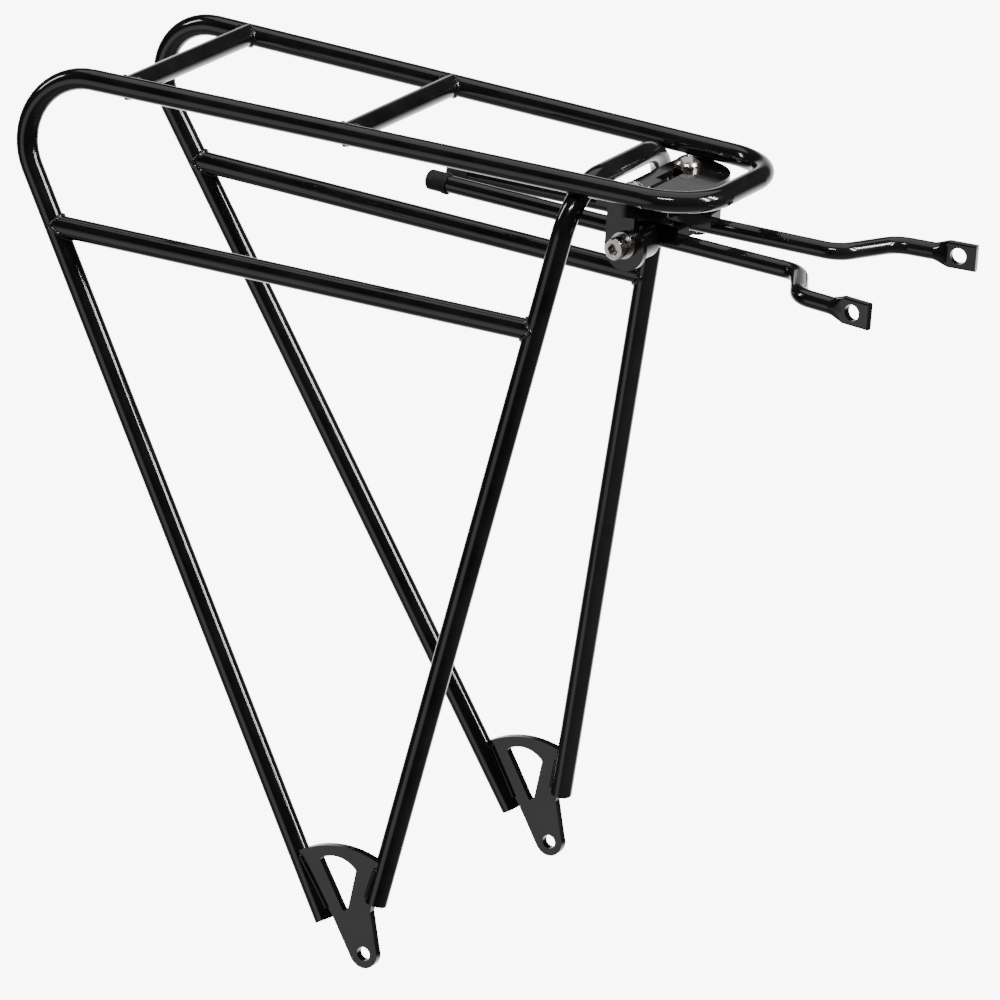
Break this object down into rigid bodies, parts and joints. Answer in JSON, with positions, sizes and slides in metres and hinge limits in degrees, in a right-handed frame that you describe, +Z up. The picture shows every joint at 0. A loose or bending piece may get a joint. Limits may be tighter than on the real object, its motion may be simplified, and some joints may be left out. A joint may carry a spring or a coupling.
{
  "type": "rear rack",
  "caption": "Bicycle rear rack of welded black steel tube with a looped platform, side rails, drilled foot plates and adjustable front stays.",
  "frame": {"origin": "midway between the two coaxial foot eyelets, on their common axis", "axes": "+X towards the front of the bicycle, +Y to its left, +Z up; the rack is symmetric about the XZ plane"},
  "size_m": [0.4328, 0.1874, 0.3815],
  "materials": {
    "frame_enamel": "gloss",
    "bracket_enamel": "gloss",
    "stay_enamel": "gloss",
    "stainless": "satin",
    "cap_rubber": "matte"
  },
  "bodies": {
    "rack_frame": {"main_tube": "frame_enamel", "front_hoop": "frame_enamel", "rear_crossbar": "frame_enamel", "middle_crossbar": "frame_enamel", "side_rail_left": "frame_enamel", "side_rail_right": "frame_enamel", "foot_plate_left": "frame_enamel", "foot_plate_right": "frame_enamel", "slotted_plate": "frame_enamel"},
    "slot_carrier_left": {"slot_bolt_left": "stainless", "slot_washer_left": "stainless", "slot_nut_left": "stainless"},
    "bracket_left": {"stay_bracket_left": "bracket_enamel"},
    "clamp_left": {"stay_clamp_left": "bracket_enamel", "clamp_screw_left": "stainless", "clamp_washer_left": "stainless", "clamp_lock_washer_left": "stainless"},
    "stay_left": {"stay_rod_left": "stay_enamel", "stay_end_cap_left": "cap_rubber"},
    "slot_carrier_right": {"slot_bolt_right": "stainless", "slot_washer_right": "stainless", "slot_nut_right": "stainless"},
    "bracket_right": {"stay_bracket_right": "bracket_enamel"},
    "clamp_right": {"stay_clamp_right": "bracket_enamel", "clamp_screw_right": "stainless", "clamp_washer_right": "stainless", "clamp_lock_washer_right": "stainless"},
    "stay_right": {"stay_rod_right": "stay_enamel", "stay_end_cap_right": "cap_rubber"}
  },
  "joints": [
    {"name": "slot_slide_left", "type": "slide", "parent": "rack_frame", "child": "slot_carrier_left", "axis": [0, 1, 0], "range_m": [-0.001, 0.0025]},
    {"name": "bracket_swivel_left", "type": "hinge", "parent": "slot_carrier_left", "child": "bracket_left", "pos_m": [0.074, 0.026, 0.358], "axis": [0, 0, -1], "range_deg": [0, 6]},
    {"name": "clamp_tilt_left", "type": "hinge", "parent": "bracket_left", "child": "clamp_left", "pos_m": [0.077, 0.02615, 0.3435], "axis": [0.0499, -0.9988, 0], "range_deg": [-6, 15]},
    {"name": "stay_slide_left", "type": "slide", "parent": "clamp_left", "child": "stay_left", "axis": [0.9988, 0.0499, 0], "range_m": [-0.045, 0.075]},
    {"name": "slot_slide_right", "type": "slide", "parent": "rack_frame", "child": "slot_carrier_right", "axis": [0, -1, 0], "range_m": [-0.001, 0.0025]},
    {"name": "bracket_swivel_right", "type": "hinge", "parent": "slot_carrier_right", "child": "bracket_right", "pos_m": [0.074, -0.026, 0.358], "axis": [0, 0, 1], "range_deg": [0, 6]},
    {"name": "clamp_tilt_right", "type": "hinge", "parent": "bracket_right", "child": "clamp_right", "pos_m": [0.077, -0.02615, 0.3435], "axis": [-0.0499, -0.9988, 0], "range_deg": [-6, 15]},
    {"name": "stay_slide_right", "type": "slide", "parent": "clamp_right", "child": "stay_right", "axis": [0.9988, -0.0499, 0], "range_m": [-0.045, 0.075]}
  ]
}
